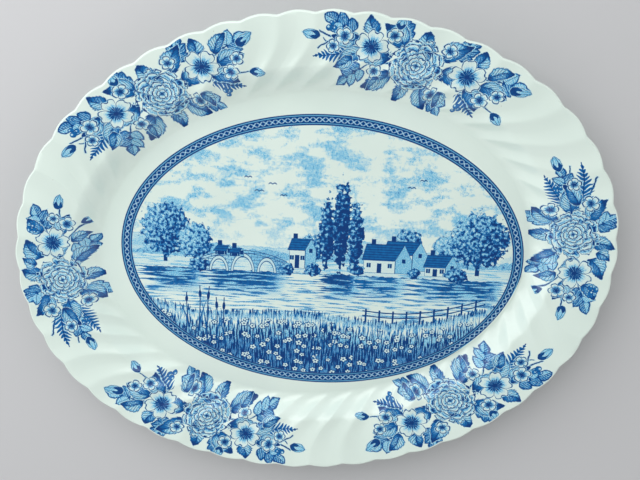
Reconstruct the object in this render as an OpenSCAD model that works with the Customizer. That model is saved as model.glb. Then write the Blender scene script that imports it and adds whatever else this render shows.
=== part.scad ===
// Oval china serving platter with a scalloped edge, swirled flutes and an underglaze print.
// The frame has +Z up, +X along the length, and its origin under the middle of the oval,
// on the plane of the foot that the platter stands on.

/* [Rim] */
// Length of the oval through the notches of the edge
rim_len = 308; // [260:1:360]
// Width of the oval through the notches of the edge
rim_wid = 238; // [200:1:280]
// Height of the edge above the table
rim_h = 23; // [21:0.5:30]
// Number of scallops around the edge
scallops = 46; // [30:2:60]
// How far a scallop stands out between its notches
scallop_depth = 1.5; // [0.5:0.1:2.5]
// How far the edge is rounded in, above and below its widest line
lip = 1.5; // [1:0.1:2]

/* [Border] */
// Width of the sloping border at the two ends
border_end = 40; // [30:1:46]
// Width of the sloping border at the two sides
border_side = 37; // [30:1:44]
// Depth of the flat well below the edge
well_depth = 15; // [12:0.5:16]
// How far the flange falls before it turns down into the well
flange_fall = 4.5; // [2:0.5:6]
// Part of the border's width that is flange, the rest curves down to the well
shoulder = 0.64; // [0.5:0.01:0.75]
// Thickness of the wall, with its glaze
wall = 4.8; // [4.2:0.1:6]

/* [Flutes] */
// Depth of a flute on the flange's inner half
flute_depth = 1.1; // [0:0.1:1.6]
// Depth of a flute at the edge
flute_edge = 0.6; // [0:0.1:1.2]
// How much of the flutes shows on the back
flute_back = 0.5; // [0:0.1:0.6]
// How many scallops a flute swings round on its way to the well
swirl = 1.85; // [0:0.05:2.5]

/* [Foot] */
// Length of the oval foot ring
foot_len = 212; // [190:1:220]
// Width of the oval foot ring
foot_wid = 148; // [130:1:156]
// Thickness of the foot ring
foot_t = 4; // [3:0.5:6]

/* [Glaze and prints] */
// Thickness of the glaze and of the prints fired into it
glaze = 0.25; // [0.2:0.05:0.4]
// Length of the framed picture in the well
picture_len = 216; // [180:1:220]
// Width of the framed picture in the well
picture_wid = 147.4; // [120:0.2:152]
// Width of the lattice band that frames the picture
band_w = 5.8; // [4:0.1:8]
// Turn of the picture against the oval, as the transfer was laid
picture_turn = -6; // [-8:1:8]
// Shift of the picture along the length
picture_x = 4; // [-4:0.5:4]
// Shift of the picture along the width
picture_y = -2.7; // [-3:0.1:3]
// Scallops that a long flower spray reaches over
long_spray = 7.75; // [6:0.25:7.75]
// Scallops that a short flower spray reaches over
short_spray = 6; // [4:0.25:6]

/* [Hidden] */

biscuit_colour = "antiquewhite";
glaze_colour = "mintcream";
print_colour = "lightsteelblue";
band_colour = "royalblue";
spray_colour = "cornflowerblue";

// Grid of the border: facets across a scallop, and rows across the flange and the curve to the well
facets = 4;
columns = scallops * facets;
flange_rows = 3;
curve_rows = 5;
back_flange_rows = 2;
back_curve_rows = 3;

rim_a = rim_len / 2;
rim_b = rim_wid / 2;
border_mean = (border_end + border_side) / 2;
floor_h = rim_h - well_depth;
under_h = floor_h - wall;
// Swings the angles round so that the scallops are equally long, although the rim is an oval
even_out = 45 / PI * (pow(rim_a, 2) - pow(rim_b, 2)) / (pow(rim_a, 2) + pow(rim_b, 2));
// Part of the border over which the scallops die out, and where the flutes begin to
scallop_reach = 0.4;
flute_end = 0.84;

// First scallop of each spray, counted from the right end of the oval against the clock
spray_starts = [42.75, 3.75, 11.75, 20, 26.25, 34.75];

function smooth(q) = let (k = min(1, max(0, q))) k * k * (3 - 2 * k);
function rows_of(flange, curve) = [
    for (i = [0 : flange - 1]) shoulder * i / flange,
    for (i = [0 : curve]) shoulder + (1 - shoulder) * i / curve
];

// Height lost at s, which runs from 0 at the edge to 1 at the well
function fall(s) = s < shoulder ? flange_fall * s / shoulder :
    let (q = (s - shoulder) / (1 - shoulder), start = flange_fall / shoulder * (1 - shoulder))
    flange_fall + start * q * pow(1 - q, 2) + (well_depth - flange_fall) * smooth(q);
function slope(s) = let (e = 0.001) s >= 1 ? 0 :
    atan((fall(s + e) - fall(max(0, s - e))) / (s + e - max(0, s - e)) / border_mean);

// Scallop c counts around the rim; lobe is 0 on its notch and 1 at its middle
function lobe(c) = let (u = c - floor(c)) 4 * u * (1 - u);
function rim_angle(c) = 360 * c / scallops + even_out * sin(720 * c / scallops);
function swung(c, s) = rim_angle(c + swirl * pow(s, 2.3));
function flute(c, s) = -lobe(c) * (flute_edge + (flute_depth - flute_edge) * smooth(s / shoulder))
    * (1 - smooth((s - flute_end) / (1 - flute_end)));

// Point of the border at scallop c and row s, off millimetres above the face, before any flute
function border_point(c, s, off, flute_part) =
    let (t = swung(c, s), tilt = slope(s),
         a = rim_a - lip - (border_end - lip) * s,
         b = rim_b - lip - (border_side - lip) * s,
         out = [b * cos(t), a * sin(t)] / norm([b * cos(t), a * sin(t)]),
         up = off + flute_part * flute(c, s),
         push = scallop_depth * lobe(c) * pow(max(0, 1 - s / scallop_reach), 2) - up * sin(tilt),
         at = [a * cos(t), b * sin(t)] + push * out)
    [at.x, at.y, rim_h - fall(s) + up * cos(tilt)];

// Widest line of the edge, half-way down the wall, skin millimetres inside the glaze
function edge_point(c, skin) =
    let (t = rim_angle(c),
         out = [rim_b * cos(t), rim_a * sin(t)] / norm([rim_b * cos(t), rim_a * sin(t)]),
         at = [rim_a * cos(t), rim_b * sin(t)] + (scallop_depth * lobe(c) - skin) * out)
    [at.x, at.y, rim_h - wall / 2 + (1 + flute_back) / 2 * flute(c, 0)];

// Ring of the flat well or underside, on an oval that may be turned and shifted
function oval_point(c, len, wid, z, turn, at) =
    let (t = swung(c, 1), x = len / 2 * cos(t - turn), y = wid / 2 * sin(t - turn))
    [at.x + x * cos(turn) - y * sin(turn), at.y + x * sin(turn) + y * cos(turn), z];
function picture_point(c, inset, z) =
    oval_point(c, picture_len - 2 * inset, picture_wid - 2 * inset, z, picture_turn, [picture_x, picture_y]);

function around(from, to) = [for (j = [from : to]) j / facets];
function ring(kind, s, off, c) = kind == "edge" ? edge_point(c, off)
    : kind == "face" ? border_point(c, s, -off, 1)
    : kind == "back" ? border_point(c, s, off - wall, flute_back)
    : kind == "well" ? picture_point(c, 0, floor_h - off)
    : oval_point(c, foot_len, foot_wid, under_h + off, 0, [0, 0]);

// The rings that each skin is made of, from the edge inwards
face_rings = concat([["edge", 0]], [for (s = rows_of(flange_rows, curve_rows)) ["face", s]], [["well", 1]]);
back_rings = concat([["edge", 0]], [for (s = rows_of(back_flange_rows, back_curve_rows)) ["back", s]],
    [["foot", 1]]);
first_print_ring = 1;
last_print_ring = len(face_rings) - 2;

function spray_columns(k) = facets * (k % 3 == 0 ? short_spray : long_spray);
function in_spray(k, i, j) = i >= first_print_ring && i < last_print_ring
    && (j - facets * spray_starts[k] + columns) % columns < spray_columns(k);
function printed(i, j) = len([for (k = [0 : len(spray_starts) - 1]) if (in_spray(k, i, j)) 1]) > 0;

// Closed skin between an outer and an inner grid of rings, made of the cells that are kept.
// flip is set on the underside, where the same order of rings looks the other way.
module skin(rings, from, count, closed, keep, flip = false) {
    wide = closed ? count : count + 1;
    tall = len(rings);
    pts = [for (off = [0, glaze]) for (r = rings) for (c = around(from, from + wide - 1)) ring(r[0], r[1], off, c)];
    half = wide * tall;
    cells = [for (i = [0 : tall - 2]) [for (j = [0 : count - 1]) keep(i, j)]];
    at = function (i, j, low) low * half + i * wide + j % wide;
    kept = function (i, j) i >= 0 && i < tall - 1 && (closed || (j >= 0 && j < count))
        && cells[i][(j + count) % count];
    quads = [for (i = [0 : tall - 2]) for (j = [0 : count - 1]) if (cells[i][j]) each [
        [at(i, j, 0), at(i, j + 1, 0), at(i + 1, j + 1, 0), at(i + 1, j, 0)],
        [at(i, j, 1), at(i + 1, j, 1), at(i + 1, j + 1, 1), at(i, j + 1, 1)],
        if (!kept(i - 1, j)) [at(i, j, 0), at(i, j, 1), at(i, j + 1, 1), at(i, j + 1, 0)],
        if (!kept(i + 1, j)) [at(i + 1, j, 0), at(i + 1, j + 1, 0), at(i + 1, j + 1, 1), at(i + 1, j, 1)],
        if (!kept(i, j - 1)) [at(i, j, 0), at(i + 1, j, 0), at(i + 1, j, 1), at(i, j, 1)],
        if (!kept(i, j + 1)) [at(i, j + 1, 0), at(i, j + 1, 1), at(i + 1, j + 1, 1), at(i + 1, j + 1, 0)]
    ]];
    polyhedron(pts, [for (q = quads) each flip
        ? [[q[0], q[1], q[2]], [q[0], q[2], q[3]]]
        : [[q[0], q[2], q[1]], [q[0], q[3], q[2]]]]);
}

// Fired clay under the glaze: face, rounded edge and back in one closed shell
module china_body() {
    face = [for (i = [0 : len(face_rings) - 2]) face_rings[i]];
    back = [for (i = [len(back_rings) - 2 : -1 : 1]) back_rings[i]];
    loop = concat(back, face);
    tall = len(loop);
    pts = [for (r = loop) for (c = around(0, columns - 1)) ring(r[0], r[1], glaze, c)];
    color(biscuit_colour) polyhedron(pts, concat(
        [[for (j = [0 : columns - 1]) j]],
        [[for (j = [columns - 1 : -1 : 0]) (tall - 1) * columns + j]],
        [for (i = [0 : tall - 2]) for (j = [0 : columns - 1]) let (
            a = i * columns + j, b = i * columns + (j + 1) % columns, c = b + columns, d = a + columns)
            each [[a, c, b], [a, d, c]]]));
}

module flat_oval(low, high, points) {
    translate([0, 0, low]) linear_extrude(high - low) polygon([for (p = points) [p.x, p.y]]);
}

// Oval ring that the platter stands on, of the same clay, with a bare tread
module foot_ring() {
    grow = 1;
    outer = [for (c = around(0, columns - 1)) oval_point(c, foot_len, foot_wid, 0, 0, [0, 0])];
    inner = [for (c = around(0, columns - 1))
        oval_point(c, foot_len - 2 * foot_t, foot_wid - 2 * foot_t, 0, 0, [0, 0])];
    color(biscuit_colour) difference() {
        flat_oval(0, under_h + glaze, outer);
        flat_oval(-grow, under_h + glaze + grow, inner);
    }
}

// Clear glaze of the face, left open where a print is fired into it
module face_glaze() {
    color(glaze_colour) skin(face_rings, 0, columns, true, function (i, j) !printed(i, j));
}

// Clear glaze of the back, outside the foot ring and inside it
module back_glaze() {
    color(glaze_colour) {
        skin(back_rings, 0, columns, true, function (i, j) true, flip = true);
        flat_oval(under_h, under_h + glaze, [for (c = around(0, columns - 1))
            oval_point(c, foot_len - 2 * foot_t, foot_wid - 2 * foot_t, 0, 0, [0, 0])]);
    }
}

// Framed picture in the middle of the well
module picture_print() {
    color(print_colour) flat_oval(floor_h - glaze, floor_h,
        [for (c = around(0, columns - 1)) picture_point(c, band_w, 0)]);
}

// Lattice band around the picture
module band_print() {
    grow = 1;
    color(band_colour) difference() {
        flat_oval(floor_h - glaze, floor_h, [for (c = around(0, columns - 1)) picture_point(c, 0, 0)]);
        flat_oval(floor_h - glaze - grow, floor_h + grow,
            [for (c = around(0, columns - 1)) picture_point(c, band_w, 0)]);
    }
}

// Flower spray k, laid along the border between two flutes
module spray(k) {
    color(spray_colour) skin([for (i = [first_print_ring : last_print_ring]) face_rings[i]],
        facets * spray_starts[k], spray_columns(k), false, function (i, j) true);
}

china_body();
foot_ring();
face_glaze();
back_glaze();
picture_print();
band_print();
spray(0);  // spray_right
spray(1);  // spray_top_right
spray(2);  // spray_top_left
spray(3);  // spray_left
spray(4);  // spray_bottom_left
spray(5);  // spray_bottom_right
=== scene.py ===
import math

import bpy
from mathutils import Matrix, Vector


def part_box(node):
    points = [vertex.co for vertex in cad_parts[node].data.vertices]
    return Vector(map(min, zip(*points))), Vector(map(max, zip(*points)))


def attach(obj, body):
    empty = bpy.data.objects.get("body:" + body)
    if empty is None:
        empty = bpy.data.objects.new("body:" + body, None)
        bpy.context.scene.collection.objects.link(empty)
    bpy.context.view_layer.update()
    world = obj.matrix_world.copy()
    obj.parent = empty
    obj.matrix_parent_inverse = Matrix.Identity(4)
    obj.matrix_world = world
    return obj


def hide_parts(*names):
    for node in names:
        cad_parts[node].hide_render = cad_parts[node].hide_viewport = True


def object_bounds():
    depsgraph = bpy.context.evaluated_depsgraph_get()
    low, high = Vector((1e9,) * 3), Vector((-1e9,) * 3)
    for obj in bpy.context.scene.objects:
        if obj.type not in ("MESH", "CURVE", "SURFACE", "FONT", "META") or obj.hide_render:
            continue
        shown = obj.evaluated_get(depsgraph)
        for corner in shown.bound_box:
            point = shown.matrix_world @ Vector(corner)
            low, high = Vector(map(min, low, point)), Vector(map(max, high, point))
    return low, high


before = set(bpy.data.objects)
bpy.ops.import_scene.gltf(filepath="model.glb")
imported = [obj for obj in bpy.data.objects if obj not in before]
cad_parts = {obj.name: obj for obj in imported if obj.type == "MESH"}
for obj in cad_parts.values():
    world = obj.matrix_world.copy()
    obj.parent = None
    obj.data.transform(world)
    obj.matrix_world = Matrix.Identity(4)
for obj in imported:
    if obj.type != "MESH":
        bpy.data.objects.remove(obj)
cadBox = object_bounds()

platter = {  # metres; a share of the border is 0 at the edge and 1 at the well
    "rimLength": 0.308,  # through the notches
    "rimWidth": 0.238,
    "scallops": 46,
    "scallopDepth": 0.0015,
    "scallopReach": 0.4,  # share of the border over which the scallops die out
    "notchRound": 0.045,  # how soft the glaze leaves a notch, in scallops
    "lip": 0.0015,
    "borderEnd": 0.040,
    "borderSide": 0.037,
    "flangeFall": 0.0045,
    "shoulder": 0.64,
    "wall": 0.0048,
    "slopeReach": 0.001,  # share of the border over which a slope is taken
    "backSoft": 0.07,  # how gently the back turns under the shoulder
}
flutes = {
    "depth": 0.0011,
    "edgeDepth": 0.0006,
    "backShare": 0.5,
    "end": 0.84,
    "swirl": 1.85,  # scallops that a flute swings round on its way in
    "swirlBend": 2.3,
    "ridgeRound": 0.07,  # how soft the glaze leaves a ridge, in scallops
}
foot = {
    "length": 0.212,
    "width": 0.148,
    "thick": 0.004,
    "round": 0.0011,  # of the tread's edges
    "cove": 0.0014,  # where the foot runs out into the underside
    "steps": 5,
    "bare": 0.0007,  # height up to which the tread is wiped clean of glaze
}
picture = {
    "length": 0.216,
    "width": 0.1474,
    "band": 0.0058,
    "turn": math.radians(-6),
    "at": (0.004, -0.0027),
}
grid = {
    "facets": 16,  # across a scallop
    "lipRings": 5,
    "flangeRings": 18,
    "curveRings": 22,
    "wellRings": 3,
    "backShare": 0.6,  # of the rings that the face has
    "underRings": 6,
    "bandRings": 4,
    "pictureRings": 7,
    "pictureStep": 0.01,
    "bodyFacets": 6,
    "bodyShares": (0.3, 0.6),  # back and face
    "bodyLip": (0.4, 0.75),
}

rimHeight = cadBox[1].z
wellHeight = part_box("picture_print")[1].z
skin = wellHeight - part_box("picture_print")[0].z
clayDepth = skin + 0.00005  # keeps the clay just clear of its glaze
underHeight = wellHeight - platter["wall"]
rimA, rimB = platter["rimLength"] / 2, platter["rimWidth"] / 2
borderMean = (platter["borderEnd"] + platter["borderSide"]) / 2
wellDepth = rimHeight - wellHeight
evenOut = (rimA ** 2 - rimB ** 2) / (rimA ** 2 + rimB ** 2) / 4  # keeps the scallops equally long


def smooth(q):
    q = min(1.0, max(0.0, q))
    return q * q * (3 - 2 * q)


def fall(s):  # height lost at s, 0 at the edge and 1 at the well
    flangeFall, shoulder = platter["flangeFall"], platter["shoulder"]
    if s < shoulder:
        return flangeFall * s / shoulder
    q = (s - shoulder) / (1 - shoulder)
    start = flangeFall / shoulder * (1 - shoulder)
    return flangeFall + start * q * (1 - q) ** 2 + (wellDepth - flangeFall) * smooth(q)


def tiltAt(s, reach):  # slope over a short reach, which narrows towards the well
    if s >= 1:
        return 0.0
    reach = max(platter["slopeReach"], reach * min(1.0, (1 - s) * 4))
    low, high = max(0.0, s - reach), min(1.0, s + reach)
    return math.atan((fall(high) - fall(low)) / (high - low) / borderMean)


def lobe(c, rounding):  # 0 on a notch, 1 in the middle of a scallop
    u = abs(c - round(c))
    u = math.hypot(u, rounding) - rounding
    return min(1.0, 4 * u * (1 - u))


def rimAngle(c):
    phi = 2 * math.pi * c / platter["scallops"]
    return phi + evenOut * math.sin(2 * phi)


def swing(s):  # scallops that a flute has swung round by s
    return flutes["swirl"] * max(0.0, s) ** flutes["swirlBend"]


def flute(c, s):
    depth = flutes["edgeDepth"] + (flutes["depth"] - flutes["edgeDepth"]) * smooth(s / platter["shoulder"])
    fade = 1 - smooth((s - flutes["end"]) / (1 - flutes["end"]))
    return -lobe(c, flutes["ridgeRound"]) * depth * fade


def outward(a, b, t):
    return Vector((b * math.cos(t), a * math.sin(t), 0)).normalized()


def borderPoint(c, s, lift, flutePart):
    t = rimAngle(c + swing(s))
    tilt = tiltAt(s, platter["slopeReach"] if flutePart == 1 else platter["backSoft"])
    a = rimA - platter["lip"] - (platter["borderEnd"] - platter["lip"]) * s
    b = rimB - platter["lip"] - (platter["borderSide"] - platter["lip"]) * s
    up = lift + flutePart * flute(c, s)
    reach = max(0.0, 1 - s / platter["scallopReach"]) ** 2
    push = platter["scallopDepth"] * lobe(c, platter["notchRound"]) * reach - up * math.sin(tilt)
    at = Vector((a * math.cos(t), b * math.sin(t), rimHeight - fall(s))) + push * outward(a, b, t)
    at.z += up * math.cos(tilt)
    return at


def lipPoint(c, q, depth, flutePart):  # q runs from the widest line of the edge, 0, to the face or back, 1
    t = rimAngle(c)
    turn = math.pi / 2 * q
    push = platter["scallopDepth"] * lobe(c, platter["notchRound"]) - depth
    widest = Vector((rimA * math.cos(t), rimB * math.sin(t), 0)) + push * outward(rimA, rimB, t)
    widest.z = rimHeight - platter["wall"] / 2 + (1 + flutes["backShare"]) / 2 * flute(c, 0)
    end = borderPoint(c, 0, -depth if flutePart == 1 else depth - platter["wall"], flutePart)
    across = end.lerp(widest, math.cos(turn))
    across.z = widest.z + (end.z - widest.z) * math.sin(turn)
    return across


def ovalPoint(c, oval, inset, z, turn=0.0, at=(0.0, 0.0)):
    t = rimAngle(c + swing(1)) - turn
    x = (oval["length"] - 2 * inset) / 2 * math.cos(t)
    y = (oval["width"] - 2 * inset) / 2 * math.sin(t)
    across = at[0] + x * math.cos(turn) - y * math.sin(turn)
    return Vector((across, at[1] + x * math.sin(turn) + y * math.cos(turn), z))


def picturePoint(c, inset, z):
    return ovalPoint(c, picture, inset, z, picture["turn"], picture["at"])


def ringPoint(ring, c, depth):
    kind, value = ring
    if kind == "lip":
        return lipPoint(c, value, depth, 1)
    if kind == "face":
        return borderPoint(c, value, -depth, 1)
    if kind == "picture":
        return picturePoint(c, value, wellHeight - depth)
    if kind == "well":
        return ringPoint(("face", 1), c, depth).lerp(picturePoint(c, 0, wellHeight - depth), value)
    if kind == "backLip":
        return lipPoint(c, value, depth, flutes["backShare"])
    if kind == "back":
        return borderPoint(c, value, depth - platter["wall"], flutes["backShare"])
    if kind == "foot":
        return ovalPoint(c, foot, value, underHeight + depth)
    if kind == "wall":  # inset from the outside of the foot, and height
        return ovalPoint(c, foot, *value)
    if kind == "middle":
        return Vector((0, 0, value - depth))
    if kind == "centre":
        return Vector((*picture["at"], wellHeight - depth))


def borderRings(kind, share=1.0):
    flange, curve = int(grid["flangeRings"] * share), int(grid["curveRings"] * share)
    shoulder = platter["shoulder"]
    return ([(kind, shoulder * i / flange) for i in range(flange)]
            + [(kind, shoulder + (1 - shoulder) * i / curve) for i in range(curve + 1)])


def lipRings(kind):
    return [(kind, i / grid["lipRings"]) for i in range(grid["lipRings"])]


def enter(mode):
    bpy.ops.object.mode_set(mode=mode)


def deselect():
    if bpy.context.mode != "OBJECT":
        enter("OBJECT")
    bpy.ops.object.select_all(action="DESELECT")


def select(obj):
    deselect()
    obj.select_set(True)
    bpy.context.view_layer.objects.active = obj


def claySheet(name, rings, first, columns, facets, depth=0.0):  # a grid laid ring by ring
    deselect()
    bpy.ops.mesh.primitive_grid_add(x_subdivisions=columns, y_subdivisions=len(rings) - 1, size=1)
    sheet = bpy.context.object
    sheet.name = sheet.data.name = name
    vertices = sheet.data.vertices
    wide = columns + 1
    for k, ring in enumerate(rings):
        for j in range(wide):
            vertices[k * wide + j].co = ringPoint(ring, (first + j) / facets, depth)
    return sheet


def cutAway(sheet, wide, isGone):  # isGone is asked for each cell's ring and column
    select(sheet)
    enter("EDIT")
    bpy.ops.mesh.select_all(action="DESELECT")
    bpy.ops.mesh.select_mode(type="FACE")
    enter("OBJECT")
    for polygon in sheet.data.polygons:
        ring, column = divmod(min(polygon.vertices), wide)
        polygon.select = isGone(ring, column)
    enter("EDIT")
    bpy.ops.mesh.delete(type="FACE")
    enter("OBJECT")


def closeRound(sheet, outside=False):
    select(sheet)
    enter("EDIT")
    bpy.ops.mesh.select_mode(type="VERT")
    bpy.ops.mesh.select_all(action="SELECT")
    bpy.ops.mesh.remove_doubles(threshold=1e-6)
    if outside:
        bpy.ops.mesh.normals_make_consistent(inside=False)
    enter("OBJECT")


def thicken(sheet):  # the skin grows inwards, so the face stays where it is
    select(sheet)
    wall = sheet.modifiers.new("skin", "SOLIDIFY")
    wall.thickness = skin
    wall.offset = -1
    wall.use_even_offset = False
    bpy.ops.object.modifier_apply(modifier=wall.name)


def finish(piece, material, slotName, *nodes):
    select(piece)
    bpy.ops.object.shade_smooth_by_angle(angle=math.radians(40))
    piece.data.materials.clear()
    piece.data.materials.append(material)
    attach(piece, "root")
    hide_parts(*nodes)


class Wire:  # a number or a vector on its way through a node tree
    def __init__(self, socket):
        self.socket = socket

    def __add__(self, other):
        return maths("ADD", self, other)

    def __radd__(self, other):
        return maths("ADD", other, self)

    def __sub__(self, other):
        return maths("SUBTRACT", self, other)

    def __rsub__(self, other):
        return maths("SUBTRACT", other, self)

    def __mul__(self, other):
        return maths("MULTIPLY", self, other)

    def __rmul__(self, other):
        return maths("MULTIPLY", other, self)

    def __truediv__(self, other):
        return maths("DIVIDE", self, other)

    def __pow__(self, other):
        return maths("POWER", self, other)

    def __abs__(self):
        return maths("ABSOLUTE", self)


bench = {"tree": None}  # the node tree that is being wired


def addNode(kind, **settings):
    node = bench["tree"].nodes.new(kind)
    for name, value in settings.items():
        setattr(node, name, value)
    return node


def feed(socket, value):
    if isinstance(value, Wire):
        bench["tree"].links.new(value.socket, socket)
    else:
        socket.default_value = value


def feedAll(node, values):
    for socket, value in zip(node.inputs, values):
        feed(socket, value)


def maths(operation, *values, kind="ShaderNodeMath"):
    node = addNode(kind, operation=operation)
    feedAll(node, values)
    return Wire(node.outputs[0])


def vectorMaths(operation, *values):
    return maths(operation, *values, kind="ShaderNodeVectorMath")


def larger(a, b):
    return maths("MAXIMUM", a, b)


def smaller(a, b):
    return maths("MINIMUM", a, b)


def fromCentre(x, y):
    return maths("SQRT", x * x + y * y)


def comb(value):  # 0.5 on the whole numbers and 0 halfway between them
    return abs(maths("FRACT", value) - 0.5)


def step(value, low, high, start=0.0, end=1.0):  # start below low, end above high, and a soft edge between
    node = addNode("ShaderNodeMapRange", interpolation_type="SMOOTHSTEP", clamp=False)
    feedAll(node, (value, low, high, start, end))
    return Wire(node.outputs["Result"])


def ramp(value, low, high):  # 0 at low, 1 at high, straight between
    return smaller(larger((value - low) / (high - low), 0.0), 1.0)


def apart(vector):
    node = addNode("ShaderNodeSeparateXYZ")
    feed(node.inputs[0], vector)
    return [Wire(socket) for socket in node.outputs]


def noise(point, scale, detail=2.0, rough=0.5, flat="2D", output=0):
    node = addNode("ShaderNodeTexNoise", noise_dimensions=flat)
    feed(node.inputs["Vector"], point)
    node.inputs["Scale"].default_value = scale
    node.inputs["Detail"].default_value = detail
    node.inputs["Roughness"].default_value = rough
    return Wire(node.outputs[output])


def stretched(point, perX, perY, detail, rough=0.5):
    return noise(vectorMaths("MULTIPLY", point, (perX, perY, 1)), 1.0, detail, rough)


def cells(point, scale, flat="2D"):  # the nearest cell's distance, colour and middle
    node = addNode("ShaderNodeTexVoronoi", voronoi_dimensions=flat, feature="F1")
    feed(node.inputs["Vector"], point)
    node.inputs["Scale"].default_value = scale
    return [Wire(node.outputs[name]) for name in ("Distance", "Color", "Position")]


def over(tone, mask, below):  # lays one tone over what is there already
    return maths("MULTIPLY_ADD", mask, tone - below, below)


def blendColour(share, first, second):
    node = addNode("ShaderNodeMix", data_type="RGBA")
    feed(node.inputs[0], share)
    feed(node.inputs[6], first)
    feed(node.inputs[7], second)
    return Wire(node.outputs[2])


socketKinds = {"point": "NodeSocketVector", "ground": "NodeSocketVector", "colour": "NodeSocketColor"}


def makeGroup(name, build, inputs, outputs="tone mask"):  # sockets hold numbers, but for the kinds above
    group = bpy.data.node_groups.new(name, "ShaderNodeTree")
    for labels, way in ((inputs, "INPUT"), (outputs, "OUTPUT")):
        for label in labels.split():
            kind = socketKinds.get(label, "NodeSocketFloat")
            group.interface.new_socket(name=label, in_out=way, socket_type=kind)
    before, bench["tree"] = bench["tree"], group
    entry = addNode("NodeGroupInput")
    results = build(*(Wire(entry.outputs[label]) for label in inputs.split()))
    leave = addNode("NodeGroupOutput")
    feedAll(leave, results)
    bench["tree"] = before
    return group


def place(group, *values):
    node = addNode("ShaderNodeGroup", node_tree=group)
    feedAll(node, values)
    return [Wire(socket) for socket in node.outputs]


def srgb(r, g, b):
    def linear(x):
        x /= 255
        return x / 12.92 if x <= 0.04045 else ((x + 0.055) / 1.055) ** 2.4
    return (linear(r), linear(g), linear(b), 1.0)


china = {
    "white": srgb(231, 246, 238),
    "cool": srgb(224, 240, 232),
    "speck": srgb(150, 140, 118),
    "pale": srgb(154, 214, 236),
    "light": srgb(80, 180, 226),
    "cobalt": srgb(14, 117, 188),
    "navy": srgb(0, 54, 122),
    "biscuit": srgb(214, 203, 182),
    "worn": srgb(176, 164, 144),
    "dot": 0.4,  # pitch of the engraver's dots, mm
    "inkCover": 0.98,
    "glazeRough": 0.18,
    "biscuitRough": 0.72,
}


def glazeGround(point):  # in millimetres
    drift = noise(point, 0.018, 3.0, flat="3D")
    ripple = noise(point, 0.09, 2.0, flat="3D")
    pits = cells(point, 0.16, "3D")[0]
    speck = step(pits, 0.02, 0.05, 1.0, 0.0) * step(noise(point, 0.05, flat="3D"), 0.6, 0.62)
    ground = blendColour(ramp(drift, 0.35, 0.65), china["white"], china["cool"])
    ground = blendColour(speck * 0.5, ground, china["speck"])
    return ground, ripple * 0.035 - speck * 0.01


def inkFilm(point, tone, ground):  # a pale wash with dots for the light tones, solid ink for the dark ones
    wobble = noise(point, 0.55, 2.0)
    dots = cells(point, 1 / china["dot"])[0]
    wash = blendColour(ramp(tone, 0.0, 0.4) * 0.8, ground, china["pale"])
    reach = maths("SQRT", larger(tone, 0.0)) * (0.56 + 0.24 * wobble)
    film = step(reach - dots, -0.12, 0.12) * step(tone, 0.02, 0.06)
    film = larger(film, step(tone, 0.52, 0.66))
    depth = tone + 0.22 * (wobble - 0.5)
    ink = blendColour(step(depth, 0.36, 0.64), china["light"], china["cobalt"])
    ink = blendColour(step(depth, 0.55, 0.9), ink, china["navy"])
    return [blendColour(film * china["inkCover"], wash, ink)]


# Each motif gives a tone, from 0 for bare glaze to 1 for the darkest ink, and the mask that it covers, in its
# own frame of x and y in millimetres. Lines are given by half their width.


def solid(inside, soft=0.1):  # 1 where inside is above zero
    return step(inside, -soft, soft)


def lineNear(distance, half, soft=0.1):  # a line where distance is close to zero
    return step(distance, half - soft, half + soft, 1.0, 0.0)


def inked(tone, inside):  # the drawing, with a little colour bled into the glaze round it
    return over(tone, solid(inside, 0.07), 0.13), solid(inside + 0.32, 0.3)


leaf = {
    "teeth": 6.0,
    "veinGap": 1.7,
    "vein": 0.11,
    "midrib": 0.2,
    "outline": 0.32,
    "below": 0.66,  # tone of the leaves under the flowers, and of those over them
    "above": 0.61,
}


def drawLeaf(x, y, length, width, bend, shade):  # lit on one half, dark at both ends and along the edge
    along = smaller(larger(x / length, 0.001), 0.999)
    belly = along * (1.0 - along)
    rise = y - belly * bend * 4.0
    side = abs(rise)
    saw = maths("FRACT", along * leaf["teeth"] - side * 0.3)
    half = belly ** 0.7 * (1.66 - 0.86 * along) * width * (0.82 + 0.15 * saw)
    inside = smaller(half - side, smaller(x, length - x))
    share = side / larger(half, 0.05)
    fromMiddle = share * 2.0 - 1.0
    crown = (1.0 - fromMiddle * fromMiddle) * step(along, 0.06, 0.3) * step(along, 0.6, 0.92, 1.0, 0.0)
    fromHalf = along * 2.0 - 0.9
    body = shade + 0.24 * fromHalf * fromHalf + 0.1 * share - crown * (0.13 + 0.36 * step(rise, 0.0, 0.5))
    veins = lineNear(comb((x - side * 1.15) / leaf["veinGap"]), leaf["vein"], 0.06) * step(inside, 0.2, 0.7)
    lines = larger(lineNear(inside, leaf["outline"]), lineNear(side, leaf["midrib"]))
    return inked(larger(body, larger(lines, veins * 0.9)), inside)


petal = {"outline": 0.5, "seam": 0.09, "rays": 4.0}


def drawPetals(radius, angle, reach, count, phase, base, cusp, notch, depth):
    ripple = abs(maths("COSINE", angle * count * 0.5 + phase))
    low = 1.0 - ripple
    edge = reach * (1.0 - cusp * low * low - notch * step(ripple, 0.9, 1.0))
    inside = edge - radius
    outline = lineNear(inside, petal["outline"])
    seam = lineNear(ripple * radius / count, petal["seam"], 0.06)
    hollow = 1.0 - ramp(radius, base, edge)
    rays = maths("SINE", angle * count * petal["rays"])
    shade = step(hollow, 0.3, 0.95) * depth * (0.85 + 0.3 * rays) + 0.05
    return inked(larger(shade, larger(outline, seam) * 0.98), inside)


petalGroup = makeGroup("petal ring", drawPetals, "radius angle reach count phase base cusp notch depth")
peony = {
    "rings": (  # share of the flower's size, petals and phase, from the outside in
        (1.0, 9, 0.3), (0.84, 8, 1.0), (0.68, 8, 0.2), (0.52, 7, 1.2), (0.37, 5, 0.5), (0.21, 4, 1.3),
    ),
    "petals": (0.27, 0.045, 0.95),  # cusp, notch and depth
}
wildRose = {"stamens": 11.0, "knob": 0.3, "petals": (0.42, 0.11, 0.95)}
blossom = {"petals": (0.4, 0.0, 0.9)}


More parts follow.
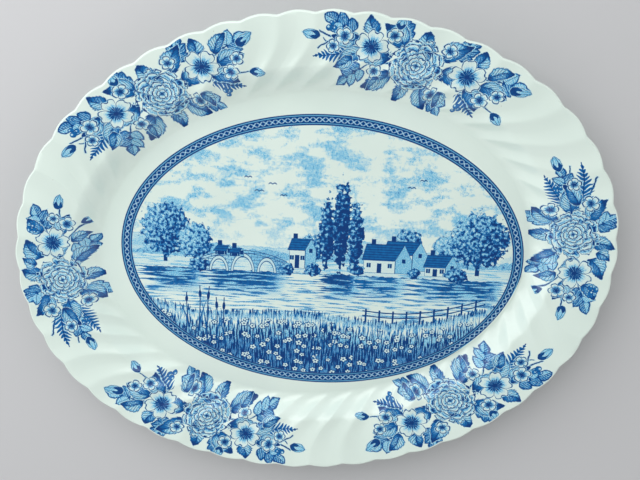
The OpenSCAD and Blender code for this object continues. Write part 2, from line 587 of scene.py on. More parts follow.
def drawPeony(x, y, size, wander):
    radius = fromCentre(x, y) * (0.82 + 0.36 * wander)
    angle = maths("ARCTAN2", y, x) + (wander - 0.5) * 1.2
    tone, mask = None, None
    for share, count, phase in peony["rings"]:
        reach = size * share
        ring = place(petalGroup, radius, angle, reach, count, phase, size * (share - 0.2), *peony["petals"])
        if mask is None:
            tone, mask = ring
        else:
            tone = over(*ring, tone)
    return tone, mask


def openFlower(x, y, size, petals):  # one ring of five petals, after its radius and angle
    radius = fromCentre(x, y)
    angle = maths("ARCTAN2", y, x)
    return radius, angle, *place(petalGroup, radius, angle, size, 5, 0.0, size * 0.2, *petals)


def drawWildRose(x, y, size):  # five notched petals round a crown of stamens
    radius, angle, tone, mask = openFlower(x, y, size, wildRose["petals"])
    crown = maths("SINE", angle * wildRose["stamens"])
    knobs = step(crown, 0.0, 0.5) * lineNear(abs(radius - size * 0.36), wildRose["knob"])
    threads = step(crown, 0.5, 0.9) * step(radius, size * 0.32, size * 0.36, 1.0, 0.0)
    heart = step(radius, size * 0.12, size * 0.17, 1.0, 0.0)
    return larger(tone, larger(knobs, larger(threads * 0.8, heart))), mask


def drawBlossom(x, y, size):
    radius, angle, tone, mask = openFlower(x, y, size, blossom["petals"])
    return larger(tone, step(radius, size * 0.16, size * 0.24, 1.0, 0.0)), mask


stem = {"half": 0.34, "tone": 0.86}


def drawStem(x, y, length, bow, thick):
    along = x / length
    inside = smaller(thick - abs(y - along * (1.0 - along) * bow * 4.0), smaller(x, length - x))
    return inked(stem["tone"], inside)


twig = {
    "leaflets": ((0.26, 54), (0.52, 46), (0.72, 0)),  # place along it and turn: two pairs and the tip
    "stalk": 0.26,
    "rib": 0.12,
    "outline": 0.2,
    "hatchGap": 1.1,
}


def drawTwig(x, y, length, leafLength):
    side = abs(y)
    inside = smaller(twig["stalk"] - side, smaller(x, length * 0.8 - x))
    ribs = 0.0
    for start, turn in twig["leaflets"]:
        c, s = math.cos(math.radians(turn)), math.sin(math.radians(turn))
        fromStart = x - length * start
        along = fromStart * c + side * s
        u = smaller(larger(along / leafLength, 0.001), 0.999)
        v = abs(side * c - fromStart * s)
        leaflet = (u * (1.0 - u)) ** 0.8 * (1.5 - 0.7 * u) * leafLength - v
        leaflet = smaller(leaflet, smaller(along, leafLength - along))
        inside = larger(inside, leaflet)
        ribs = larger(ribs, lineNear(v, twig["rib"]) * solid(leaflet))
    hatch = comb((x + y * 0.7) / twig["hatchGap"])
    body = 0.8 - step(inside, 0.2, 1.1) * (0.26 + 0.24 * step(y, -0.1, 0.3)) + 0.2 * step(hatch, 0.26, 0.4)
    return inked(larger(body, larger(ribs, lineNear(inside, twig["outline"])) * 0.96), inside)


fern = {"gap": 2.1, "rib": 0.28, "tone": 0.66}


def drawFrond(x, y, length, width, bend):  # leaflets both sides of a curved rib
    along = larger(smaller(x / length, 1.0), 0.0)
    side = abs(y - along * along * bend)
    reach = maths("SINE", math.pi * (0.1 + 0.9 * along) ** 0.8) * width * 0.5
    share = side / larger(reach, 0.05)
    fromRow = comb((x - side * 0.75) / fern["gap"])
    leaflet = solid(0.44 * (1.0 - share * share) - fromRow, 0.05) * step(share, 0.9, 1.0, 1.0, 0.0)
    rib = lineNear(side, fern["rib"])
    mask = larger(leaflet, rib) * solid(x * (length - x), 0.2)
    return larger(fern["tone"], larger(lineNear(fromRow, 0.08, 0.05), rib) * 0.95), mask


bud = {"fold": 0.12, "outline": 0.26, "cup": 0.82}


def drawBud(x, y, length, width):  # closed petals in a dark cup
    along = smaller(larger(x / length, 0.001), 0.999)
    belly = along * (1.0 - along)
    half = belly ** 0.6 * width * (1.25 - 0.3 * along)
    inside = smaller(half - abs(y), smaller(x, length - x))
    folds = lineNear(abs(abs(y) - half * 0.42), bud["fold"])
    cup = step(along + 0.12 * maths("COSINE", y * 2.6), 0.4, 0.46, 1.0, 0.0)
    tone = larger(0.16 + 0.3 * along, larger(lineNear(inside, bud["outline"]), folds) * 0.95)
    return inked(larger(tone, cup * bud["cup"]), inside)


berry = {"turns": (90, 210, 330), "apart": 0.62, "radius": 0.55, "outline": 0.2}


def drawBerries(x, y, size):
    tone, mask = 0.0, 0.0
    for turn in berry["turns"]:
        ownX = x - size * berry["apart"] * math.cos(math.radians(turn))
        ownY = y - size * berry["apart"] * math.sin(math.radians(turn))
        inside = size * berry["radius"] - fromCentre(ownX, ownY)
        glint = solid(size * 0.16 - maths("SQRT", (ownX + size * 0.16) ** 2.0 + (ownY - size * 0.18) ** 2.0))
        ball = larger(0.68 - 0.5 * glint, lineNear(inside, berry["outline"]) * 0.95)
        tone = over(ball, solid(inside, 0.07), tone)
        mask = larger(mask, solid(inside, 0.07))
    return tone, mask


leafGroup = makeGroup("leaf", drawLeaf, "x y length width bend shade")
peonyGroup = makeGroup("peony", drawPeony, "x y size wander")
roseGroup = makeGroup("wild rose", drawWildRose, "x y size")
blossomGroup = makeGroup("small blossom", drawBlossom, "x y size")
stemGroup = makeGroup("stem", drawStem, "x y length bow thick")
twigGroup = makeGroup("twig", drawTwig, "x y length leafLength")
frondGroup = makeGroup("fern frond", drawFrond, "x y length width bend")
budGroup = makeGroup("bud", drawBud, "x y length width")
berryGroup = makeGroup("berries", drawBerries, "x y size")
groundGroup = makeGroup("glaze ground", glazeGround, "point", "colour height")
inkGroup = makeGroup("ink film", inkFilm, "point tone ground", "colour")


def lay(group, below, x, y, spot, *sizes, mirror=1):  # spot is a motif's place and turn
    atX, atY, turn = spot
    c, s = math.cos(math.radians(turn)), math.sin(math.radians(turn))
    ownX = maths("MULTIPLY_ADD", x, c, maths("MULTIPLY_ADD", y, s, -(atX * c + atY * s)))
    ownY = maths("MULTIPLY_ADD", x, -s * mirror, (atX * s - atY * c) * mirror)
    ownY = maths("MULTIPLY_ADD", y, c * mirror, ownY)
    return over(*place(group, ownX, ownY, *sizes), below)


# x runs clockwise round the rim and y outwards, in millimetres from the middle of a spray. A row holds x, y
# and turn in degrees, and then what its group takes.
longSpray = {
    "stems": [
        (-10, -1, 166, 36, 5), (-30, 8, 196, 18, -2), (10, 2, -12, 32, 4), (26, 1, 30, 21, 2.5),
        (34, -2, -8, 17, -1.5), (-12, 9, 100, 8, 1), (-30, 8, 168, 17, 2),
    ],
    "fronds": [(-26, 2, 192, 24, 11, -2), (26, -5, -30, 17, 9, 1.5)],
    "twigs": [
        (-28, 9, 150, 17, 7), (-22, -4, 218, 16, 7), (30, 6, 22, 20, 7.5), (15, 8, 66, 13, 6),
        (14, -8, -46, 14, 6.5), (-9, 9, 96, 10, 5.5),
    ],
    "leavesBelow": [
        (3, 8, 104, 10.5, 8.5, 1), (-7, 7, 140, 15, 10, -1.5), (-9, -6, 214, 17, 10.5, 1.5),
        (-1, -9, -98, 11, 9, 1), (8, -8, -54, 14, 10, -1.5), (11, 7, 50, 14, 10, 1.5),
        (12, 0, 0, 19, 11, 1.5), (-12, 1, 176, 17, 11, 1), (27, -1, -34, 15, 9, 1.5),
        (-24, 2, 206, 15, 9, -1.5), (-21, 11, 118, 9, 8, 1), (25, 10, 84, 8, 8, -1), (32, 3, 6, 14, 9, 1),
        (-28, 8, 176, 13, 8.5, 1.5),
    ],
    "blossoms": [
        (37, -3, 0, 4.2), (15, -11, 20, 4), (-35, 9, 0, 4.2), (-13, 12, 30, 3.8), (-18, -7, 50, 3.8),
        (42, 3, 10, 3.6), (-40, 4, 40, 3.4), (12, 12, 0, 3.5),
    ],
    "roses": [(-22, 5, 10, 8.2), (25, 4, 40, 8.6)],
    "leavesAbove": [
        (-15, -9, 240, 9, 6.5, 1), (-30, -1, 212, 11, 7, 1), (33, 8, 44, 11, 7.5, 1.5),
        (18, -8, -76, 9, 6.5, 1),
    ],
    "peonies": [(1, 0, 0, 13.2)],
    "buds": [(44, 9, 30, 9, 5), (46, -5, -16, 8, 4.6), (-46, 9, 168, 8.5, 4.8), (-12, 15, 84, 5, 4)],
    "berries": [(-41, 13, 0, 2.4), (31, -12, 40, 2.4)],
}
shortSpray = {
    "stems": [(-9, 3, 172, 28, 3), (10, 0, 6, 30, -3), (14, -3, -26, 20, 2.5), (-14, 8, 150, 16, 1)],
    "fronds": [(-18, -3, 196, 19, 10, -2), (-17, 6, 158, 20, 10, 2)],
    "twigs": [
        (24, 5, 34, 15, 7), (-8, -8, 238, 13, 6.5), (10, -7, -36, 17, 7), (-4, 9, 110, 10, 6),
        (-20, 1, 178, 17, 6.5),
    ],
    "leavesBelow": [
        (-7, 7, 132, 14, 9.5, 1.5), (-8, -7, 220, 14, 9.5, 1.5), (4, 9, 76, 10, 8.5, 1),
        (8, -7, -50, 14, 9.5, 1.5), (-1, -9, -98, 11, 9, 1), (11, 1, 4, 17, 10.5, -1.5),
        (-12, 1, 178, 15, 10.5, 1), (12, 8, 40, 12, 9, 1.5), (24, 0, -14, 13, 8.5, 1),
        (-16, 4, 196, 13, 8, -1),
    ],
    "blossoms": [(31, -3, 0, 4.1), (-16, -9, 20, 4), (-16, 10, 50, 4), (33, 4, 30, 3.4), (-27, 5, 10, 3.5)],
    "roses": [(20, 3, 60, 8.4)],
    "leavesAbove": [(25, 8, 48, 10, 7, 1), (21, -6, -58, 10, 7, 1), (9, 11, 62, 7, 6, 1)],
    "peonies": [(-1, 0, 0, 12.8)],
    "buds": [(38, 3, 10, 8, 4.8), (32, -10, -38, 7, 4.4), (-36, 1, 172, 8, 4.6)],
    "berries": [(27, 13, 20, 2.3), (-27, -3, 0, 2.3)],
}


def sprayTone(x, y, wander, layout):
    groups = {  # the lowest first, and what all of a kind share
        "stems": (stemGroup, stem["half"]),
        "fronds": (frondGroup,),
        "twigs": (twigGroup,),
        "leavesBelow": (leafGroup, leaf["below"]),
        "blossoms": (blossomGroup,),
        "roses": (roseGroup,),
        "leavesAbove": (leafGroup, leaf["above"]),
        "peonies": (peonyGroup, wander),
        "buds": (budGroup,),
        "berries": (berryGroup,),
    }
    tone = 0.0
    for name, (group, *rest) in groups.items():
        for atX, atY, turn, *sizes in layout[name]:
            mirror = 1
            if group == leafGroup and sizes[2] < 0:  # such a leaf is the mirror image of another
                mirror, sizes[2] = -1, -sizes[2]
            tone = lay(group, tone, x, y, (atX, atY, turn), *sizes, *rest, mirror=mirror)
    return tone


def newMaterial(name):
    material = bpy.data.materials.new(name)
    material.use_nodes = True
    material.node_tree.nodes.clear()
    bench["tree"] = material.node_tree
    return material


def glazedMaterial(name, paint, *given):  # paint gets the point, and the plain glaze's colour and height
    material = newMaterial(name)
    point = objectMillimetres()
    paint(point, *place(groundGroup, point), *given)
    return material


def glossOver(colourWire, heightWire):  # the fired glaze itself
    shader = addNode("ShaderNodeBsdfPrincipled")
    shader.inputs["Roughness"].default_value = china["glazeRough"]
    shader.inputs["IOR"].default_value = 1.5
    feed(shader.inputs["Base Color"], colourWire)
    bump = addNode("ShaderNodeBump")
    bump.inputs["Strength"].default_value = 1.0
    bump.inputs["Distance"].default_value = 0.001
    feed(bump.inputs["Height"], heightWire)
    feed(shader.inputs["Normal"], Wire(bump.outputs[0]))
    leave = addNode("ShaderNodeOutputMaterial")
    feed(leave.inputs["Surface"], Wire(shader.outputs[0]))
    return shader


def objectMillimetres():
    node = addNode("ShaderNodeVectorMath", operation="SCALE")
    feed(node.inputs[0], Wire(addNode("ShaderNodeTexCoord").outputs["Object"]))
    node.inputs["Scale"].default_value = 1000
    return Wire(node.outputs["Vector"])


def layoutPoint():  # the piece's own map, which holds millimetres
    return Wire(addNode("ShaderNodeUVMap", uv_map="layout").outputs[0])


def drawTree(x, y, width, height, low, dark, clump, leafy, fringe):  # low is the share of bare trunk
    middle, half = height * (1.0 + low) * 0.5, height * (1.0 - low) * 0.5
    across, up = x / (width * 0.5), (y - middle) / half
    inside = (1.0 - fromCentre(across, up)) * width * 0.5 + (fringe - 0.5) * (width * 0.3 + 2.6)
    tone = dark + across * 0.16 - up * 0.12 + (clump - 0.36) * 0.5 + (leafy - 0.5) * 1.5
    tone = larger(smaller(tone, 1.0), 0.12)
    crown = solid(inside, 0.12)
    trunk = lineNear(abs(x), width * 0.03 + 0.25) * solid(y * (middle - y), 0.2)
    return over(larger(tone, lineNear(inside, 0.22) * 0.85), crown, 0.9), larger(crown, trunk)


def boxInside(x, y, left, right, low, high):  # how far inside a box a point is
    return smaller(smaller(x - left, right - x), smaller(y - low, high - y))


cottage = {
    "bays": 3.0,  # windows along the front
    "window": (1.1, 1.2),  # half its width and height
    "door": 1.2,
    "loft": (0.9, 1.1),
    "stack": (2.4, 2.6),  # the chimney's width, and its height above the ridge
    "courseGap": 1.35,
}


def drawCottage(x, y, width, wall, roof, gable):  # long front, then the gable end at the right
    rise = (y - wall) / roof
    front = boxInside(x, y, 0.0, width, 0.0, wall)
    end = smaller(smaller(x - width, width + gable - x), y)
    end = smaller(end, gable * 0.5 * (1.0 - rise) - abs(x - width - gable * 0.5))
    slope = smaller(smaller(y - wall + 0.7, wall + roof - y),
                    smaller(x + 0.9 - rise * 2.0, width + gable * 0.5 * rise - x))
    wide, tall = cottage["stack"]
    stack = boxInside(x, y, width * 0.22, width * 0.22 + wide, wall + roof * 0.5, wall + roof + tall)
    bay = (maths("FRACT", x / width * cottage["bays"]) - 0.5) * width / cottage["bays"]
    wide, tall = cottage["window"]
    window = smaller(wide - abs(bay), tall - abs(y - wall * 0.56))
    door = smaller(cottage["door"] - abs(x - width * 0.5), wall * 0.7 - y)
    pane = solid(window, 0.08) * (1.0 - 0.7 * lineNear(abs(bay), 0.12))
    wide, tall = cottage["loft"]
    loft = smaller(wide - abs(x - width - gable * 0.5), tall - abs(y - wall * 0.95))
    courses = lineNear(comb(y / cottage["courseGap"]), 0.1, 0.08)
    tone = over(0.92, solid(stack), 0.0)
    frontTone = larger(0.05 + 0.86 * larger(pane, solid(door)), lineNear(front, 0.2) * 0.9)
    tone = over(frontTone, solid(front), tone)
    tone = over(larger(0.42 + 0.5 * solid(loft), lineNear(end, 0.25) * 0.95), solid(end), tone)
    tone = over(larger(0.7 + 0.26 * courses, lineNear(slope, 0.25)), solid(slope), tone)
    return tone, larger(larger(solid(front), solid(end)), larger(solid(slope), solid(stack)))


bridge = {
    "arches": ((0.0, 0.21, 0.78), (-0.54, 0.16, 0.6), (0.54, 0.16, 0.6)),  # shares: place, half width, height
    "course": 1.9,
    "stone": 3.1,
    "parapet": 1.7,
}


def drawBridge(x, y, half, height):
    share = x / half
    top = height * (1.15 - 0.5 * share * share)
    body = smaller(smaller(top - y, y), half - abs(x))
    hole = None
    for at, wide, tall in bridge["arches"]:
        across, up = (x - half * at) / (half * wide), y / (height * tall)
        arch = (1.0 - fromCentre(across, up)) * half * wide
        hole = arch if hole is None else larger(hole, arch)
    course = maths("FLOOR", y / bridge["course"])
    joints = lineNear(comb(x / bridge["stone"] + course * 0.5), 0.06, 0.05)
    joints = larger(joints, lineNear(comb(y / bridge["course"]), 0.1, 0.08))
    ring = lineNear(abs(hole + 0.75), 0.6)
    tone = larger(0.36 + 0.2 * share, joints * 0.72)
    tone = over(0.12, ring, tone)
    tone = larger(tone, larger(lineNear(abs(hole + 1.35), 0.14), lineNear(abs(hole), 0.3)) * 0.95)
    edge = lineNear(body, 0.3)
    parapet = lineNear(abs(top - y - bridge["parapet"]), 0.16)
    tone = larger(tone, larger(edge, parapet) * 0.95)
    return tone, solid(body) * (1.0 - solid(hole))


def drawRush(x, y, length, bow):  # a stem with its brown head, and a blade beside it
    along = larger(x / length, 0.0)
    off = abs(y - along * along * bow)
    stalk = solid(0.3 - off) * solid(x * (length - x), 0.2)
    head = solid(1.0 - ((along - 0.82) / 0.085) ** 2.0 - (off / 0.85) ** 2.0, 0.15)
    blade = (1.0 - along * 1.1) * 0.7 - abs(y + along * along * bow * 2.6)
    blade = solid(blade) * solid(x, 0.2)
    tone = larger(0.95 * larger(stalk, head), 0.72 * blade)
    return tone, larger(larger(stalk, head), blade)


treeGroup = makeGroup("tree", drawTree, "x y width height low dark clump leafy fringe")
cottageGroup = makeGroup("cottage", drawCottage, "x y width wall roof gable")
bridgeGroup = makeGroup("bridge", drawBridge, "x y half height")
rushGroup = makeGroup("rush", drawRush, "x y length bow")

riverside = {  # in millimetres from the middle of the picture
    "horizon": -2.0,
    "farBank": -11.0,
    "trees": (  # x, foot, width, height, bare share of trunk, darkness
        (-84, -8, 26, 32, 0.12, 0.6), (-68, -9, 18, 23, 0.15, 0.5), (84, -8, 30, 34, 0.14, 0.62),
        (68, -8, 17, 22, 0.15, 0.5), (-6, -7, 13, 17, 0.1, 0.55), (3, -8, 8.5, 38, 0.04, 0.78),
        (10.5, -8, 9.5, 47, 0.04, 0.85), (18, -8, 8, 35, 0.04, 0.74), (46, -7, 17, 22, 0.12, 0.62),
    ),
    "cottages": (  # x, foot, front, wall, roof, gable
        (-57, -3, 6, 2.6, 2.8, 3), (-49, -3.4, 5, 2.2, 2.4, 2.6), (34, -7, 15, 9, 7, 8),
        (23, -9, 17, 7.5, 8.5, 9), (56, -9.5, 11, 5.5, 6.5, 7), (-17, -8.5, 8.5, 10.5, 6, 6),
    ),
    "bushes": (
        (19, -9.5, 9, 5), (50, -10, 7, 4.5), (-18, -11, 8, 5), (-4, -10.5, 9, 5.5), (-66, -11, 11, 6),
        (73, -10.5, 12, 6),
    ),
    "bushShape": (-0.3, 0.66),  # bare share and darkness, as for a tree
    "bridge": (-42, -12, 24, 10.5),
    "rushes": (
        (-66, -47, 84, 26, 2), (-61, -51, 92, 30, -2), (-56, -52, 86, 25, 2), (-51, -54, 96, 27, -2),
        (-71, -45, 100, 20, -2), (4, -57, 95, 17, -2), (8, -58, 86, 20, 2), (-1, -58, 92, 15, 1.5),
    ),
    "fence": {"from": 24.0, "to": 90.0, "gap": 7.4, "tall": 6.5, "post": 0.5, "rail": 0.32},
    "birds": ((-34, 33, 2.6), (-27, 37, 2.2), (-40, 40, 2.0), (-21, 31, 1.8), (46, 38, 2.2), (52, 42, 1.9)),
    "shades": (  # on the water: x, half width, depth
        (-42, 23, 0.6), (10, 10, 0.75), (-80, 16, 0.6), (32, 14, 0.45), (80, 18, 0.6), (57, 9, 0.4),
    ),
}


def pictureTone(point, x, y):
    flow = stretched(point, 0.064, 0.11, 3.0, 0.55)
    wisp = stretched(point, 0.05, 0.22, 3.0)
    wave = stretched(point, 0.07, 0.95, 3.0)
    blades = stretched(point, 1.25, 0.16, 2.0)
    leafy = noise(point, 0.34, 3.0)
    dapple = noise(point, 0.62, 3.0, 0.6)
    clump = cells(point, 0.42)[0]
    hue, middle = cells(point, 0.2)[1:]
    headX, headY = apart(vectorMaths("SUBTRACT", point, middle))[:2]
    kind, lean = apart(hue)[:2]
    headSize = 1.0 + 0.75 * kind
    headY = headY * 1.25
    headFar = fromCentre(headX, headY)
    petals = abs(maths("COSINE", maths("ARCTAN2", headY, headX) * 2.5 + lean * 3.0))

    # the sky and its birds
    high = step(y, 4.0, 22.0)
    speckled = dapple - 0.5
    cloud = step(flow + (wisp - 0.5) * 0.36 + speckled * 0.22, 0.43, 0.7)
    tone = cloud * (0.13 + 0.25 * high) * (1.0 + 1.7 * speckled)
    for atX, atY, size in riverside["birds"]:
        arc = abs(abs(x - atX) - size * 0.5) / (size * 0.5)
        off = abs(y - atY + arc * arc * size * 0.3)
        tone = larger(tone, lineNear(off, 0.3) * solid(size - abs(x - atX)) * 0.85)

    # hills, woods and a meadow
    ridge = 3.4 * maths("SINE", x * 0.045 + 0.8) + 1.5 * maths("SINE", x * 0.11) + (leafy - 0.5) * 1.6
    far = ridge + riverside["horizon"] + 6.0 - y
    tone = over(larger(0.15 + 0.14 * step(wisp, 0.45, 0.6), lineNear(abs(far), 0.2) * 0.5), solid(far), tone)
    ridge = 2.2 * maths("SINE", x * 0.07 - 1.0) + 1.0 * maths("SINE", x * 0.19) + (leafy - 0.5) * 3.2
    near = ridge + riverside["horizon"] + 2.4 - y
    tone = over(0.46 + 0.7 * (dapple - 0.5), solid(near), tone)
    meadow = riverside["horizon"] - 2.2 - y + (leafy - 0.5) * 1.2
    tone = over(0.07 + 0.3 * step(wave, 0.52, 0.6), solid(meadow), tone)

    # the river, shaded under what stands on its far bank
    depth = riverside["farBank"] - y
    shade = 0.0
    swayed = x + (wave - 0.5) * 26.0
    for at, half, dark in riverside["shades"]:
        shade = larger(shade, (1.0 - step(abs(swayed - at), half * 0.55, half * 1.1)) * dark)
    shade = shade * (1.0 - step(depth, 5.0, 17.0))
    water = larger(step(wave + 0.22 * shade, 0.5, 0.62) * (0.56 + 0.32 * shade), shade * 0.72)
    water = larger(water, lineNear(abs(depth), 0.5, 0.4) * 0.8)
    tone = over(water, solid(depth + (leafy - 0.5) * 1.5), tone)

    # what stands on the far bank
    bushes = [(*bush, *riverside["bushShape"]) for bush in riverside["bushes"]]
    for group, rows, *rest in (
        (bridgeGroup, [riverside["bridge"]]),
        (treeGroup, riverside["trees"], clump, dapple, leafy),
        (cottageGroup, riverside["cottages"]),
        (treeGroup, bushes, clump, dapple, leafy),
    ):
        for atX, atY, *sizes in rows:
            tone = lay(group, tone, x, y, (atX, atY, 0), *sizes, *rest)

    # the near bank with its flowers, the fence behind it and the rushes before it
    shore = maths("COSINE", x * 0.05 + 0.5) * 3.0 - 36.0 + x * x * 0.0011
    bank = shore + (blades - 0.5) * 7.0 + (leafy - 0.5) * 5.0 - y
    thick = step(bank, 6.0, 18.0)
    grass = 0.24 + 0.56 * step(blades, 0.44, 0.58) + 0.36 * thick
    grass = grass - 0.26 * step(bank, 2.0, 4.0) * step(bank, 5.0, 9.0, 1.0, 0.0)
    flower = headSize * (0.62 + 0.5 * petals) - headFar
    spread = step(bank, 4.0, 5.0) * step(kind, 0.25, 0.27)
    bloomTone = 0.05 + 0.5 * lineNear(flower, 0.16)
    bloomTone = larger(bloomTone, 0.92 * step(headFar, headSize * 0.28, headSize * 0.36, 1.0, 0.0))
    grass = over(0.95, solid(flower + 0.45, 0.2) * spread, smaller(grass, 0.97))
    grass = over(bloomTone, solid(flower) * spread, grass)
    up = y - shore
    fence = riverside["fence"]
    gap, tall, rail = fence["gap"], fence["tall"], fence["rail"]
    post = lineNear(comb(x / gap) * gap, fence["post"]) * solid(smaller(up + 4.0, tall - up))
    rails = larger(lineNear(abs(up - tall * 0.4), rail), lineNear(abs(up - tall * 0.8), rail))
    tone = over(0.86, larger(post, rails) * solid(smaller(x - fence["from"], fence["to"] - x)), tone)
    tone = over(grass, solid(bank, 0.3), tone)
    for *spot, length, bow in riverside["rushes"]:
        tone = lay(rushGroup, tone, x, y, spot, length, bow)
    return tone


def paintPicture(point, ground, height):
    mapping = addNode("ShaderNodeMapping")
    turn, (atX, atY) = picture["turn"], picture["at"]
    c, s = math.cos(turn), math.sin(turn)
    feed(mapping.inputs["Vector"], Wire(addNode("ShaderNodeTexCoord").outputs["Object"]))
    mapping.inputs["Scale"].default_value = (1000, 1000, 0)
    mapping.inputs["Rotation"].default_value = (0, 0, -turn)
    mapping.inputs["Location"].default_value = (-1000 * (atX * c + atY * s), -1000 * (atY * c - atX * s), 0)
    point = Wire(mapping.outputs[0])
    x, y = apart(point)[:2]
    glossOver(*place(inkGroup, point, pictureTone(point, x, y), ground), height)


def paintGlaze(point, ground, height):
    glossOver(ground, height)


def paintSpray(point, ground, height, layout):
    point = layoutPoint()
    shake = noise(point, 0.3, 1.0, output=1)
    wander = noise(point, 0.16, 1.0)
    shakeX, shakeY = apart(shake)[:2]
    x, y = apart(point)[:2]
    tone = sprayTone(x + (shakeX - 0.5) * 1.2, y + (shakeY - 0.5) * 1.2, wander, layout)
    glossOver(*place(inkGroup, point, tone, ground), height)


band = {
    "cells": 172,  # diamonds round the picture
    "lines": ((0.36, 0.36), (1.42, 0.32), (4.38, 0.32), (5.4, 0.4)),  # mm in from the edge, and half width
    "lattice": (1.5, 4.3),
    "stroke": 0.13,  # half width of a lattice stroke, in diamonds
    "strokeSoft": 0.05,
    "faint": 0.72,  # of the light colour in a stroke, which is full where two cross
    "light": srgb(172, 218, 242),
    "dark": srgb(0, 64, 130),
    "wash": srgb(112, 186, 222),  # between the lines
}


def paintBand(point, ground, height):
    point = layoutPoint()
    blot = noise(point, 1.3, 1.0)
    u, inset = apart(point)[:2]
    low, high = band["lattice"]
    inside = solid(smaller(inset - low, high - inset), 0.08)
    across = (inset - (low + high) / 2) / (high - low)
    strokeA = comb(u + across)
    strokeB = comb(u - across)
    width, soft = band["stroke"] + (blot - 0.5) * 0.05, band["strokeSoft"]
    strokeA = step(strokeA, 0.5 - width - soft, 0.5 - width + soft)
    strokeB = step(strokeB, 0.5 - width - soft, 0.5 - width + soft)
    lattice = larger(strokeA, strokeB) * band["faint"] + strokeA * strokeB * (1 - band["faint"])
    lines = 0.0
    for at, half in band["lines"]:
        lines = larger(lines, lineNear(abs(inset - at), half, 0.06))
    picked = blendColour(lattice, band["dark"], band["light"])
    middle = picture["band"] * 500  # mm
    washed = lineNear(abs(inset - middle), band["lines"][-1][0] - middle)
    shown = blendColour(washed, ground, band["wash"])
    shown = blendColour(inside, shown, picked)
    shown = blendColour(lines * (0.97 + 0.1 * (blot - 0.5)), shown, band["dark"])
    glossOver(shown, height)


def paintFoot(point, ground, height):
    above = apart(point)[2] + (noise(point, 0.5, 2.0, flat="3D") - 0.5) * 0.5
    bare = step(above, foot["bare"] * 1000 - 0.12, foot["bare"] * 1000 + 0.12, 1.0, 0.0)
    grain = noise(point, 5.0, 3.0, flat="3D")
    wear = step(noise(point, 0.25, 3.0, flat="3D"), 0.5, 0.7)
    clay = blendColour(grain * 0.3 + wear * 0.35, china["biscuit"], china["worn"])
    shader = glossOver(blendColour(bare, ground, clay), over(grain * 0.06, bare, height))
    feed(shader.inputs["Roughness"], over(china["biscuitRough"], bare, china["glazeRough"]))


clearGlaze = glazedMaterial("clear glaze", paintGlaze)
longInk = glazedMaterial("long spray ink", paintSpray, longSpray)
shortInk = glazedMaterial("short spray ink", paintSpray, shortSpray)
bandInk = glazedMaterial("lattice ink", paintBand)
pictureInk = glazedMaterial("picture ink", paintPicture)
bareFoot = glazedMaterial("bare foot", paintFoot)
print("materials are mixed")

facets = grid["facets"]
columns = platter["scallops"] * facets
borderFace = borderRings("face")
wellRings = [("well", (i + 1) / grid["wellRings"]) for i in range(grid["wellRings"])]
faceRings = lipRings("lip") + borderFace + wellRings
backRings = (lipRings("backLip") + borderRings("back", grid["backShare"]) + [("foot", -foot["cove"])])[::-1]

sprays = {  # first scallop and number of scallops, counted from the right end against the clock
    "spray_right": (42.75, 6, shortInk),
    "spray_top_right": (3.75, 7.75, longInk),
    "spray_top_left": (11.75, 7.75, longInk),
    "spray_left": (20, 6, shortInk),
    "spray_bottom_left": (26.25, 7.75, longInk),
    "spray_bottom_right": (34.75, 7.75, longInk),
}
scallopWide = 16.1  # mm along the middle of the border


def underSpray(ring, column):
    if not grid["lipRings"] <= ring < grid["lipRings"] + len(borderFace) - 1:
        return False
    return any((column - start * facets) % columns < count * facets for start, count, ink in sprays.values())


faceGlaze = claySheet("glazed_face", faceRings, 0, columns, facets)
cutAway(faceGlaze, columns + 1, underSpray)
closeRound(faceGlaze)
thicken(faceGlaze)
finish(faceGlaze, clearGlaze, "clear_glaze", "face_glaze")

backGlaze = claySheet("glazed_back", backRings, 0, columns, facets)
closeRound(backGlaze)
thicken(backGlaze)
start = foot["thick"] + foot["cove"]
across = foot["width"] / 2 - foot["thick"] - foot["cove"]
footInside = [("foot", start + across * i / grid["underRings"]) for i in range(grid["underRings"])]
underDisc = claySheet("glazed_under", [("middle", underHeight)] + footInside[::-1], 0, columns, facets)
closeRound(underDisc)
thicken(underDisc)
deselect()
underDisc.select_set(True)
backGlaze.select_set(True)
bpy.context.view_layer.objects.active = backGlaze
bpy.ops.object.join()
finish(backGlaze, clearGlaze, "clear_glaze", "back_glaze")
print("glaze is on")

bodyFacets = grid["bodyFacets"]
bodyColumns = platter["scallops"] * bodyFacets
bodyBack, bodyFace = grid["bodyShares"]
bodyRings = ([("middle", underHeight + 2 * clayDepth), ("foot", 0)] + borderRings("back", bodyBack)[::-1]
             + [("backLip", q) for q in grid["bodyLip"][::-1]] + [("lip", q) for q in (0, *grid["bodyLip"])]
             + borderRings("face", bodyFace) + [("middle", wellHeight)])
chinaBody = claySheet("fired_clay", bodyRings, 0, bodyColumns, bodyFacets, clayDepth)
closeRound(chinaBody, outside=True)
finish(chinaBody, bareFoot, "biscuit", "china_body")


def footRings():  # round the section, from the underside down the outside, under the tread and up the inside
    steps, thick, r, cove = foot["steps"], foot["thick"], foot["round"], foot["cove"]
    quarter = [math.pi / 2 * i / steps for i in range(steps + 1)]
    out = [(-cove + cove * math.sin(a), underHeight - cove + cove * math.cos(a)) for a in quarter]
    out += [(r - r * math.cos(a), r - r * math.sin(a)) for a in quarter]
    inner = [(thick - inset, height) for inset, height in reversed(out)]
    ring = out + inner
    return [("wall", point) for point in ring + [(thick / 2, underHeight + skin), ring[0]]]


footRing = claySheet("clay_foot", footRings(), 0, bodyColumns, bodyFacets)
closeRound(footRing, outside=True)
finish(footRing, bareFoot, "biscuit", "foot_ring")
print("body and foot are made")


def layOut(sheet, rings, wide, mapPoint):  # mapPoint turns a ring and a column into a place on the map
    layer = sheet.data.uv_layers[0]
    layer.name = "layout"
    for loop in sheet.data.loops:
        k, j = divmod(loop.vertex_index, wide)
        layer.data[loop.index].uv = mapPoint(rings[k], j)


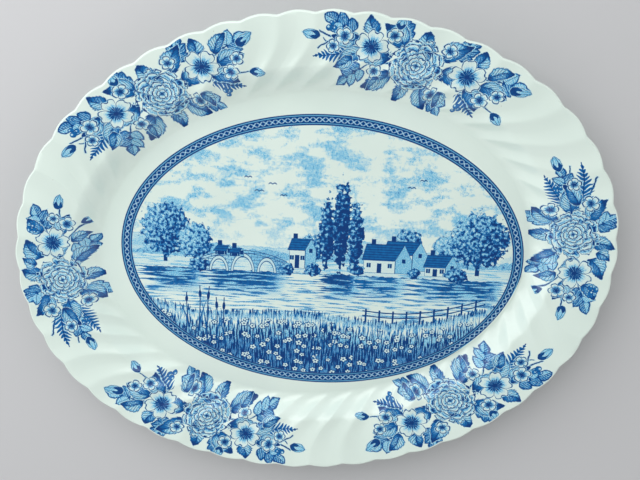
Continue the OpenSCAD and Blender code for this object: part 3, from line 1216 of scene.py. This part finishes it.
for name, (start, count, ink) in sprays.items():
    sheet = claySheet("inked_" + name, borderFace, round(start * facets), round(count * facets), facets)

    def alongSpray(ring, j):
        swung = j / facets + swing(ring[1]) - count / 2 - swing(0.5)
        return -swung * scallopWide, (0.5 - ring[1]) * borderMean * 1000

    layOut(sheet, borderFace, round(count * facets) + 1, alongSpray)
    thicken(sheet)
    finish(sheet, ink, "spray_ink", name)

bandRings = [("picture", picture["band"] * i / grid["bandRings"]) for i in range(grid["bandRings"] + 1)]
bandPrint = claySheet("inked_band", bandRings, 0, columns, facets)
rimPoints = [picturePoint(j / facets, picture["band"] / 2, 0) for j in range(columns + 1)]
lengths = [0.0]
for before, after in zip(rimPoints, rimPoints[1:]):
    lengths.append(lengths[-1] + (after - before).length)


def alongBand(ring, j):  # in diamonds round the band, and millimetres in from its edge
    return lengths[j] / lengths[-1] * band["cells"], ring[1] * 1000


layOut(bandPrint, bandRings, columns + 1, alongBand)
closeRound(bandPrint)
thicken(bandPrint)
finish(bandPrint, bandInk, "band_ink", "band_print")

pictureRings = [("picture", picture["band"] + i * grid["pictureStep"]) for i in range(grid["pictureRings"])]
picturePrint = claySheet("inked_picture", pictureRings + [("centre", 0)], 0, columns, facets)
closeRound(picturePrint)
thicken(picturePrint)
finish(picturePrint, pictureInk, "picture_ink", "picture_print")
print("prints are on")

paleFloor = {"colour": srgb(205, 206, 208), "rough": 0.8, "size": 6}
floorPaint = newMaterial("pale floor")
shader = addNode("ShaderNodeBsdfPrincipled")
shader.inputs["Base Color"].default_value = paleFloor["colour"]
shader.inputs["Roughness"].default_value = paleFloor["rough"]
leave = addNode("ShaderNodeOutputMaterial")
feed(leave.inputs["Surface"], Wire(shader.outputs[0]))
deselect()
bpy.ops.mesh.primitive_plane_add(size=paleFloor["size"], location=(0, 0, 0))
floor = bpy.context.object
floor.name = "floor"
floor.data.materials.append(floorPaint)

light = {
    "place": (-0.29, 0.42, 0.51),
    "size": 0.7,
    "power": 3.1,
    "ceiling": 0.06,  # brightness straight overhead, and lower down the walls
    "walls": 1.0,
    "turnsDark": (0.55, 0.95),  # height on the room's ball between the two
}
deselect()
bpy.ops.object.light_add(type="AREA", location=light["place"])
lamp = bpy.context.object
lamp.data.size = light["size"]
lamp.data.energy = light["power"]
lamp.visible_camera = False
lamp.rotation_euler = (-Vector(light["place"])).to_track_quat("-Z", "Y").to_euler()

world = bpy.data.worlds.new("room")
bpy.context.scene.world = world
world.use_nodes = True
bench["tree"] = world.node_tree
split = addNode("ShaderNodeSeparateXYZ")
feed(split.inputs[0], Wire(addNode("ShaderNodeTexCoord").outputs["Generated"]))
brightness = step(Wire(split.outputs[2]), *light["turnsDark"], light["walls"], light["ceiling"])
room = world.node_tree.nodes["Background"]
feed(room.inputs["Strength"], brightness)
room.inputs["Color"].default_value = (1, 1, 1, 1)
bpy.context.scene.view_settings.view_transform = "Standard"

camera = {
    "place": (0.0175, 0.0708, 0.3336),
    "turn": (-11.54, 1.67, -3.52),  # degrees, about X, Y and Z
    "lens": 35.0,
}
bpy.ops.object.camera_add(location=camera["place"], rotation=[math.radians(a) for a in camera["turn"]])
bpy.context.object.data.lens = camera["lens"]
bpy.context.scene.camera = bpy.context.object
print("stage is set")
